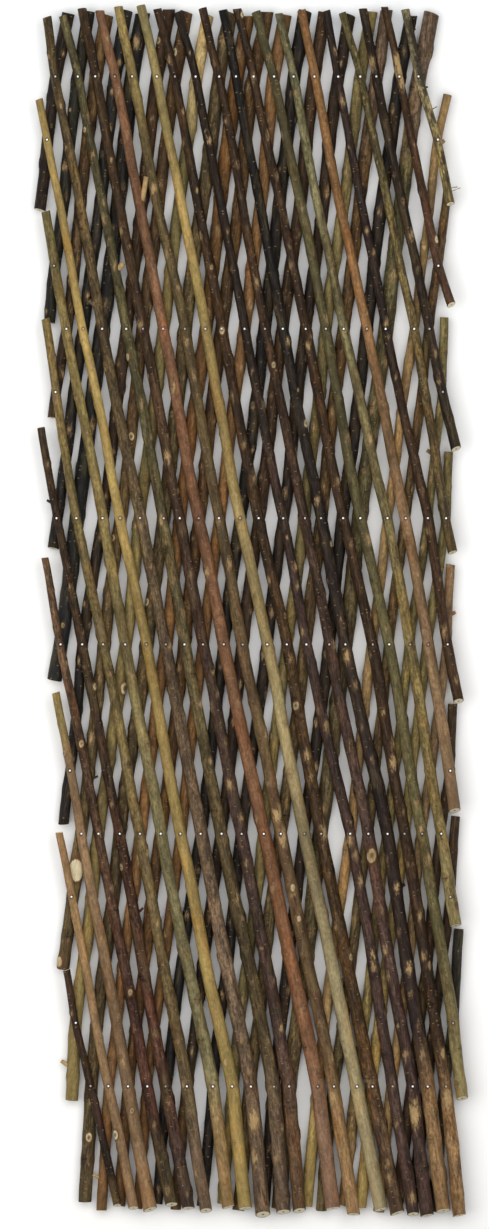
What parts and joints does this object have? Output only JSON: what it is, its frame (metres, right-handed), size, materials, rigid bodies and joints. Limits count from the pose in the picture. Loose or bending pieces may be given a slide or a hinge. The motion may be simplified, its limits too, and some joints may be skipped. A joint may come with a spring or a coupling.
{
  "type": "expandable lattice trellis",
  "caption": "Willow trellis of front and back rods pinned by nails where they cross, so the whole lattice folds shut and opens like a row of scissors.",
  "frame": {"origin": "middle of the folded lattice's outline, on the floor or wall that its back lies against", "axes": "+X across the width to the viewer's right, +Y up the length of the rods, +Z out of the front, away from the wall"},
  "size_m": [0.4824, 1.3464, 0.0338],
  "materials": {
    "bark_black": "rough willow bark, dull",
    "bark_black_brown": "rough willow bark, dull",
    "bark_chestnut": "rough willow bark, dull",
    "bark_copper": "smooth bark, satin",
    "bark_dark_brown": "rough willow bark, dull",
    "bark_golden": "smooth thin bark, satin",
    "bark_grey_brown": "rough willow bark, dull",
    "bark_olive_grey": "rough willow bark, dull",
    "bark_olive_tan": "rough willow bark, dull",
    "bark_orange_tan": "rough willow bark, dull",
    "bark_pale_green": "smooth thin bark, satin",
    "bark_purple_brown": "rough willow bark, dull",
    "bark_red_brown": "rough willow bark, dull",
    "bark_tan": "rough willow bark, dull",
    "bark_terracotta": "smooth bark, satin",
    "nail_steel": "bright wire nail"
  },
  "bodies": {
    "back_rod_01": {"back_rod_01": "bark_black_brown"},
    "back_rod_02": {"back_rod_02": "bark_black_brown"},
    "back_rod_03": {"back_rod_03": "bark_dark_brown"},
    "back_rod_04": {"back_rod_04": "bark_black"},
    "back_rod_05": {"back_rod_05": "bark_black"},
    "back_rod_06": {"back_rod_06": "bark_black_brown"},
    "back_rod_07": {"back_rod_07": "bark_chestnut"},
    "back_rod_08": {"back_rod_08": "bark_golden"},
    "back_rod_09": {"back_rod_09": "bark_grey_brown"},
    "back_rod_10": {"back_rod_10": "bark_copper"},
    "back_rod_11": {"back_rod_11": "bark_chestnut"},
    "back_rod_12": {"back_rod_12": "bark_copper"},
    "back_rod_13": {"back_rod_13": "bark_black"},
    "back_rod_14": {"back_rod_14": "bark_dark_brown", "pivot_nail_1": "nail_steel", "pivot_nail_2": "nail_steel", "pivot_nail_3": "nail_steel", "pivot_nail_4": "nail_steel", "pivot_nail_5": "nail_steel", "pivot_nail_6": "nail_steel"},
    "back_rod_15": {"back_rod_15": "bark_black"},
    "back_rod_16": {"back_rod_16": "bark_olive_tan"},
    "back_rod_17": {"back_rod_17": "bark_grey_brown"},
    "back_rod_18": {"back_rod_18": "bark_black"},
    "back_rod_19": {"back_rod_19": "bark_grey_brown"},
    "back_rod_20": {"back_rod_20": "bark_orange_tan"},
    "back_rod_21": {"back_rod_21": "bark_chestnut"},
    "back_rod_22": {"back_rod_22": "bark_olive_tan"},
    "back_rod_23": {"back_rod_23": "bark_golden"},
    "back_rod_24": {"back_rod_24": "bark_orange_tan"},
    "back_rod_25": {"back_rod_25": "bark_dark_brown"},
    "back_rod_26": {"back_rod_26": "bark_dark_brown"},
    "back_rod_27": {"back_rod_27": "bark_black_brown"},
    "front_rod_01": {"front_rod_01": "bark_black_brown"},
    "front_rod_02": {"front_rod_02": "bark_orange_tan"},
    "front_rod_03": {"front_rod_03": "bark_tan"},
    "front_rod_04": {"front_rod_04": "bark_red_brown"},
    "front_rod_05": {"front_rod_05": "bark_dark_brown"},
    "front_rod_06": {"front_rod_06": "bark_olive_tan"},
    "front_rod_07": {"front_rod_07": "bark_olive_grey"},
    "front_rod_08": {"front_rod_08": "bark_golden"},
    "front_rod_09": {"front_rod_09": "bark_grey_brown"},
    "front_rod_10": {"front_rod_10": "bark_olive_grey"},
    "front_rod_11": {"front_rod_11": "bark_dark_brown"},
    "front_rod_12": {"front_rod_12": "bark_terracotta"},
    "front_rod_13": {"front_rod_13": "bark_chestnut"},
    "front_rod_14": {"front_rod_14": "bark_pale_green"},
    "front_rod_15": {"front_rod_15": "bark_dark_brown"},
    "front_rod_16": {"front_rod_16": "bark_black_brown"},
    "front_rod_17": {"front_rod_17": "bark_red_brown"},
    "front_rod_18": {"front_rod_18": "bark_purple_brown"},
    "front_rod_19": {"front_rod_19": "bark_dark_brown"},
    "front_rod_20": {"front_rod_20": "bark_olive_tan"},
    "front_rod_21": {"front_rod_21": "bark_olive_grey"},
    "front_rod_22": {"front_rod_22": "bark_copper"},
    "front_rod_23": {"front_rod_23": "bark_purple_brown"},
    "front_rod_24": {"front_rod_24": "bark_olive_tan"},
    "front_rod_25": {"front_rod_25": "bark_black_brown"},
    "front_rod_26": {"front_rod_26": "bark_red_brown"},
    "front_rod_27": {"front_rod_27": "bark_olive_tan"}
  },
  "joints": [
    {"name": "back_rod_01_pivot", "type": "hinge", "parent": "front_rod_09", "child": "back_rod_01", "pos_m": [-0.21688, 0.59292, 0.01675], "axis": [0, 0, -1], "range_deg": [0, 70]},
    {"name": "back_rod_02_pivot", "type": "hinge", "parent": "front_rod_10", "child": "back_rod_02", "pos_m": [-0.19213, 0.59292, 0.01675], "axis": [0, 0, -1], "range_deg": [0, 70]},
    {"name": "back_rod_03_pivot", "type": "hinge", "parent": "front_rod_06", "child": "back_rod_03", "pos_m": [-0.21688, 0.24292, 0.01675], "axis": [0, 0, -1], "range_deg": [0, 70]},
    {"name": "back_rod_04_pivot", "type": "hinge", "parent": "front_rod_08", "child": "back_rod_04", "pos_m": [-0.18628, 0.31292, 0.01675], "axis": [0, 0, -1], "range_deg": [0, 70]},
    {"name": "back_rod_05_pivot", "type": "hinge", "parent": "front_rod_13", "child": "back_rod_05", "pos_m": [-0.13183, 0.59292, 0.01675], "axis": [0, 0, -1], "range_deg": [0, 70]},
    {"name": "back_rod_06_pivot", "type": "hinge", "parent": "front_rod_10", "child": "back_rod_06", "pos_m": [-0.13835, 0.31292, 0.01675], "axis": [0, 0, -1], "range_deg": [0, 70]},
    {"name": "back_rod_07_pivot", "type": "hinge", "parent": "front_rod_15", "child": "back_rod_07", "pos_m": [-0.08435, 0.59292, 0.01675], "axis": [0, 0, -1], "range_deg": [0, 70]},
    {"name": "back_rod_08_pivot", "type": "hinge", "parent": "front_rod_09", "child": "back_rod_08", "pos_m": [-0.12305, 0.10292, 0.01675], "axis": [0, 0, -1], "range_deg": [0, 70]},
    {"name": "back_rod_09_pivot", "type": "hinge", "parent": "front_rod_13", "child": "back_rod_09", "pos_m": [-0.07333, 0.31292, 0.01675], "axis": [0, 0, -1], "range_deg": [0, 70]},
    {"name": "back_rod_10_pivot", "type": "hinge", "parent": "front_rod_18", "child": "back_rod_10", "pos_m": [-0.01663, 0.59292, 0.01675], "axis": [0, 0, -1], "range_deg": [0, 70]},
    {"name": "back_rod_11_pivot", "type": "hinge", "parent": "front_rod_15", "child": "back_rod_11", "pos_m": [-0.0326, 0.31292, 0.01675], "axis": [0, 0, -1], "range_deg": [0, 70]},
    {"name": "back_rod_12_pivot", "type": "hinge", "parent": "front_rod_13", "child": "back_rod_12", "pos_m": [-0.03553, 0.10292, 0.01675], "axis": [0, 0, -1], "range_deg": [0, 70]},
    {"name": "back_rod_13_pivot", "type": "hinge", "parent": "front_rod_17", "child": "back_rod_13", "pos_m": [0.01555, 0.31292, 0.01675], "axis": [0, 0, -1], "range_deg": [0, 70]},
    {"name": "back_rod_15_pivot", "type": "hinge", "parent": "front_rod_19", "child": "back_rod_15", "pos_m": [0.06077, 0.31292, 0.01675], "axis": [0, 0, -1], "range_deg": [0, 70]},
    {"name": "back_rod_16_pivot", "type": "hinge", "parent": "front_rod_15", "child": "back_rod_16", "pos_m": [0.03962, -0.03708, 0.01675], "axis": [0, 0, -1], "range_deg": [0, 70]},
    {"name": "back_rod_17_pivot", "type": "hinge", "parent": "front_rod_18", "child": "back_rod_17", "pos_m": [0.07765, 0.10292, 0.01675], "axis": [0, 0, -1], "range_deg": [0, 70]},
    {"name": "back_rod_18_pivot", "type": "hinge", "parent": "front_rod_22", "child": "back_rod_18", "pos_m": [0.1285, 0.31292, 0.01675], "axis": [0, 0, -1], "range_deg": [0, 70]},
    {"name": "back_rod_19_pivot", "type": "hinge", "parent": "front_rod_18", "child": "back_rod_19", "pos_m": [0.10465, -0.03708, 0.01675], "axis": [0, 0, -1], "range_deg": [0, 70]},
    {"name": "back_rod_20_pivot", "type": "hinge", "parent": "front_rod_19", "child": "back_rod_20", "pos_m": [0.13502, -0.03708, 0.01675], "axis": [0, 0, -1], "range_deg": [0, 70]},
    {"name": "back_rod_21_pivot", "type": "hinge", "parent": "front_rod_22", "child": "back_rod_21", "pos_m": [0.1717, 0.10292, 0.01675], "axis": [0, 0, -1], "range_deg": [0, 70]},
    {"name": "back_rod_22_pivot", "type": "hinge", "parent": "front_rod_18", "child": "back_rod_22", "pos_m": [0.15145, -0.24708, 0.01675], "axis": [0, 0, -1], "range_deg": [0, 70]},
    {"name": "back_rod_23_pivot", "type": "hinge", "parent": "front_rod_22", "child": "back_rod_23", "pos_m": [0.19667, -0.03708, 0.01675], "axis": [0, 0, -1], "range_deg": [0, 70]},
    {"name": "back_rod_24_pivot", "type": "hinge", "parent": "front_rod_20", "child": "back_rod_24", "pos_m": [0.18992, -0.24708, 0.01675], "axis": [0, 0, -1], "range_deg": [0, 70]},
    {"name": "back_rod_25_pivot", "type": "hinge", "parent": "front_rod_22", "child": "back_rod_25", "pos_m": [0.22097, -0.17708, 0.01675], "axis": [0, 0, -1], "range_deg": [0, 70]},
    {"name": "back_rod_26_pivot", "type": "hinge", "parent": "front_rod_18", "child": "back_rod_26", "pos_m": [0.196, -0.52708, 0.01675], "axis": [0, 0, -1], "range_deg": [0, 70]},
    {"name": "back_rod_27_pivot", "type": "hinge", "parent": "front_rod_19", "child": "back_rod_27", "pos_m": [0.21625, -0.52708, 0.01675], "axis": [0, 0, -1], "range_deg": [0, 70]},
    {"name": "front_rod_01_pivot", "type": "hinge", "parent": "back_rod_09", "child": "front_rod_01", "pos_m": [-0.17795, -0.52708, 0.01675], "axis": [0, 0, 1], "range_deg": [0, 70]},
    {"name": "front_rod_02_pivot", "type": "hinge", "parent": "back_rod_10", "child": "front_rod_02", "pos_m": [-0.15815, -0.52708, 0.01675], "axis": [0, 0, 1], "range_deg": [0, 70]},
    {"name": "front_rod_03_pivot", "type": "hinge", "parent": "back_rod_07", "child": "front_rod_03", "pos_m": [-0.18808, -0.24708, 0.01675], "axis": [0, 0, 1], "range_deg": [0, 70]},
    {"name": "front_rod_04_pivot", "type": "hinge", "parent": "back_rod_05", "child": "front_rod_04", "pos_m": [-0.21125, -0.03708, 0.01675], "axis": [0, 0, 1], "range_deg": [0, 70]},
    {"name": "front_rod_05_pivot", "type": "hinge", "parent": "back_rod_09", "child": "front_rod_05", "pos_m": [-0.14555, -0.24708, 0.01675], "axis": [0, 0, 1], "range_deg": [0, 70]},
    {"name": "front_rod_06_pivot", "type": "hinge", "parent": "back_rod_14", "child": "front_rod_06", "pos_m": [-0.07108, -0.52708, 0.01675], "axis": [0, 0, 1], "range_deg": [0, 70]},
    {"name": "front_rod_07_pivot", "type": "hinge", "parent": "back_rod_11", "child": "front_rod_07", "pos_m": [-0.1001, -0.24708, 0.01675], "axis": [0, 0, 1], "range_deg": [0, 70]},
    {"name": "front_rod_08_pivot", "type": "hinge", "parent": "back_rod_07", "child": "front_rod_08", "pos_m": [-0.14488, 0.10292, 0.01675], "axis": [0, 0, 1], "range_deg": [0, 70]},
    {"name": "front_rod_09_pivot", "type": "hinge", "parent": "back_rod_10", "child": "front_rod_09", "pos_m": [-0.09448, -0.03708, 0.01675], "axis": [0, 0, 1], "range_deg": [0, 70]},
    {"name": "front_rod_10_pivot", "type": "hinge", "parent": "back_rod_14", "child": "front_rod_10", "pos_m": [-0.0326, -0.24708, 0.01675], "axis": [0, 0, 1], "range_deg": [0, 70]},
    {"name": "front_rod_11_pivot", "type": "hinge", "parent": "back_rod_10", "child": "front_rod_11", "pos_m": [-0.07895, 0.10292, 0.01675], "axis": [0, 0, 1], "range_deg": [0, 70]},
    {"name": "front_rod_12_pivot", "type": "hinge", "parent": "back_rod_11", "child": "front_rod_12", "pos_m": [-0.05803, 0.10292, 0.01675], "axis": [0, 0, 1], "range_deg": [0, 70]},
    {"name": "front_rod_13_pivot", "type": "hinge", "parent": "back_rod_14", "child": "front_rod_13", "pos_m": [-0.0092, -0.03708, 0.01675], "axis": [0, 0, 1], "range_deg": [0, 70]},
    {"name": "front_rod_14_pivot", "type": "hinge", "parent": "back_rod_18", "child": "front_rod_14", "pos_m": [0.05942, -0.24708, 0.01675], "axis": [0, 0, 1], "range_deg": [0, 70]},
    {"name": "front_rod_15_pivot", "type": "hinge", "parent": "back_rod_14", "child": "front_rod_15", "pos_m": [0.00857, 0.10292, 0.01675], "axis": [0, 0, 1], "range_deg": [0, 70]},
    {"name": "front_rod_16_pivot", "type": "hinge", "parent": "back_rod_17", "child": "front_rod_16", "pos_m": [0.06145, -0.03708, 0.01675], "axis": [0, 0, 1], "range_deg": [0, 70]},
    {"name": "front_rod_17_pivot", "type": "hinge", "parent": "back_rod_18", "child": "front_rod_17", "pos_m": [0.08687, -0.03708, 0.01675], "axis": [0, 0, 1], "range_deg": [0, 70]},
    {"name": "front_rod_18_pivot", "type": "hinge", "parent": "back_rod_14", "child": "front_rod_18", "pos_m": [0.03535, 0.31292, 0.01675], "axis": [0, 0, 1], "range_deg": [0, 70]},
    {"name": "front_rod_19_pivot", "type": "hinge", "parent": "back_rod_18", "child": "front_rod_19", "pos_m": [0.10217, 0.10292, 0.01675], "axis": [0, 0, 1], "range_deg": [0, 70]},
    {"name": "front_rod_20_pivot", "type": "hinge", "parent": "back_rod_21", "child": "front_rod_20", "pos_m": [0.15325, -0.03708, 0.01675], "axis": [0, 0, 1], "range_deg": [0, 70]},
    {"name": "front_rod_21_pivot", "type": "hinge", "parent": "back_rod_25", "child": "front_rod_21", "pos_m": [0.21107, -0.24708, 0.01675], "axis": [0, 0, 1], "range_deg": [0, 70]},
    {"name": "front_rod_22_pivot", "type": "hinge", "parent": "back_rod_14", "child": "front_rod_22", "pos_m": [0.07045, 0.59292, 0.01675], "axis": [0, 0, 1], "range_deg": [0, 70]},
    {"name": "front_rod_23_pivot", "type": "hinge", "parent": "back_rod_19", "child": "front_rod_23", "pos_m": [0.14942, 0.31292, 0.01675], "axis": [0, 0, 1], "range_deg": [0, 70]},
    {"name": "front_rod_24_pivot", "type": "hinge", "parent": "back_rod_23", "child": "front_rod_24", "pos_m": [0.21647, 0.10292, 0.01675], "axis": [0, 0, 1], "range_deg": [0, 70]},
    {"name": "front_rod_25_pivot", "type": "hinge", "parent": "back_rod_21", "child": "front_rod_25", "pos_m": [0.19802, 0.31292, 0.01675], "axis": [0, 0, 1], "range_deg": [0, 70]},
    {"name": "front_rod_26_pivot", "type": "hinge", "parent": "back_rod_18", "child": "front_rod_26", "pos_m": [0.16472, 0.59292, 0.01675], "axis": [0, 0, 1], "range_deg": [0, 70]},
    {"name": "front_rod_27_pivot", "type": "hinge", "parent": "back_rod_19", "child": "front_rod_27", "pos_m": [0.18587, 0.59292, 0.01675], "axis": [0, 0, 1], "range_deg": [0, 70]}
  ],
  "couplings": [
    {"joint": "back_rod_01_pivot", "follows": "front_rod_15_pivot", "ratio": 1},
    {"joint": "back_rod_02_pivot", "follows": "front_rod_15_pivot", "ratio": 1},
    {"joint": "back_rod_03_pivot", "follows": "front_rod_15_pivot", "ratio": 1},
    {"joint": "back_rod_04_pivot", "follows": "front_rod_15_pivot", "ratio": 1},
    {"joint": "back_rod_05_pivot", "follows": "front_rod_15_pivot", "ratio": 1},
    {"joint": "back_rod_06_pivot", "follows": "front_rod_15_pivot", "ratio": 1},
    {"joint": "back_rod_07_pivot", "follows": "front_rod_15_pivot", "ratio": 1},
    {"joint": "back_rod_08_pivot", "follows": "front_rod_15_pivot", "ratio": 1},
    {"joint": "back_rod_09_pivot", "follows": "front_rod_15_pivot", "ratio": 1},
    {"joint": "back_rod_10_pivot", "follows": "front_rod_15_pivot", "ratio": 1},
    {"joint": "back_rod_11_pivot", "follows": "front_rod_15_pivot", "ratio": 1},
    {"joint": "back_rod_12_pivot", "follows": "front_rod_15_pivot", "ratio": 1},
    {"joint": "back_rod_13_pivot", "follows": "front_rod_15_pivot", "ratio": 1},
    {"joint": "back_rod_15_pivot", "follows": "front_rod_15_pivot", "ratio": 1},
    {"joint": "back_rod_16_pivot", "follows": "front_rod_15_pivot", "ratio": 1},
    {"joint": "back_rod_17_pivot", "follows": "front_rod_15_pivot", "ratio": 1},
    {"joint": "back_rod_18_pivot", "follows": "front_rod_15_pivot", "ratio": 1},
    {"joint": "back_rod_19_pivot", "follows": "front_rod_15_pivot", "ratio": 1},
    {"joint": "back_rod_20_pivot", "follows": "front_rod_15_pivot", "ratio": 1},
    {"joint": "back_rod_21_pivot", "follows": "front_rod_15_pivot", "ratio": 1},
    {"joint": "back_rod_22_pivot", "follows": "front_rod_15_pivot", "ratio": 1},
    {"joint": "back_rod_23_pivot", "follows": "front_rod_15_pivot", "ratio": 1},
    {"joint": "back_rod_24_pivot", "follows": "front_rod_15_pivot", "ratio": 1},
    {"joint": "back_rod_25_pivot", "follows": "front_rod_15_pivot", "ratio": 1},
    {"joint": "back_rod_26_pivot", "follows": "front_rod_15_pivot", "ratio": 1},
    {"joint": "back_rod_27_pivot", "follows": "front_rod_15_pivot", "ratio": 1},
    {"joint": "front_rod_01_pivot", "follows": "front_rod_15_pivot", "ratio": 1},
    {"joint": "front_rod_02_pivot", "follows": "front_rod_15_pivot", "ratio": 1},
    {"joint": "front_rod_03_pivot", "follows": "front_rod_15_pivot", "ratio": 1},
    {"joint": "front_rod_04_pivot", "follows": "front_rod_15_pivot", "ratio": 1},
    {"joint": "front_rod_05_pivot", "follows": "front_rod_15_pivot", "ratio": 1},
    {"joint": "front_rod_06_pivot", "follows": "front_rod_15_pivot", "ratio": 1},
    {"joint": "front_rod_07_pivot", "follows": "front_rod_15_pivot", "ratio": 1},
    {"joint": "front_rod_08_pivot", "follows": "front_rod_15_pivot", "ratio": 1},
    {"joint": "front_rod_09_pivot", "follows": "front_rod_15_pivot", "ratio": 1},
    {"joint": "front_rod_10_pivot", "follows": "front_rod_15_pivot", "ratio": 1},
    {"joint": "front_rod_11_pivot", "follows": "front_rod_15_pivot", "ratio": 1},
    {"joint": "front_rod_12_pivot", "follows": "front_rod_15_pivot", "ratio": 1},
    {"joint": "front_rod_13_pivot", "follows": "front_rod_15_pivot", "ratio": 1},
    {"joint": "front_rod_14_pivot", "follows": "front_rod_15_pivot", "ratio": 1},
    {"joint": "front_rod_16_pivot", "follows": "front_rod_15_pivot", "ratio": 1},
    {"joint": "front_rod_17_pivot", "follows": "front_rod_15_pivot", "ratio": 1},
    {"joint": "front_rod_18_pivot", "follows": "front_rod_15_pivot", "ratio": 1},
    {"joint": "front_rod_19_pivot", "follows": "front_rod_15_pivot", "ratio": 1},
    {"joint": "front_rod_20_pivot", "follows": "front_rod_15_pivot", "ratio": 1},
    {"joint": "front_rod_21_pivot", "follows": "front_rod_15_pivot", "ratio": 1},
    {"joint": "front_rod_22_pivot", "follows": "front_rod_15_pivot", "ratio": 1},
    {"joint": "front_rod_23_pivot", "follows": "front_rod_15_pivot", "ratio": 1},
    {"joint": "front_rod_24_pivot", "follows": "front_rod_15_pivot", "ratio": 1},
    {"joint": "front_rod_25_pivot", "follows": "front_rod_15_pivot", "ratio": 1},
    {"joint": "front_rod_26_pivot", "follows": "front_rod_15_pivot", "ratio": 1},
    {"joint": "front_rod_27_pivot", "follows": "front_rod_15_pivot", "ratio": 1}
  ]
}
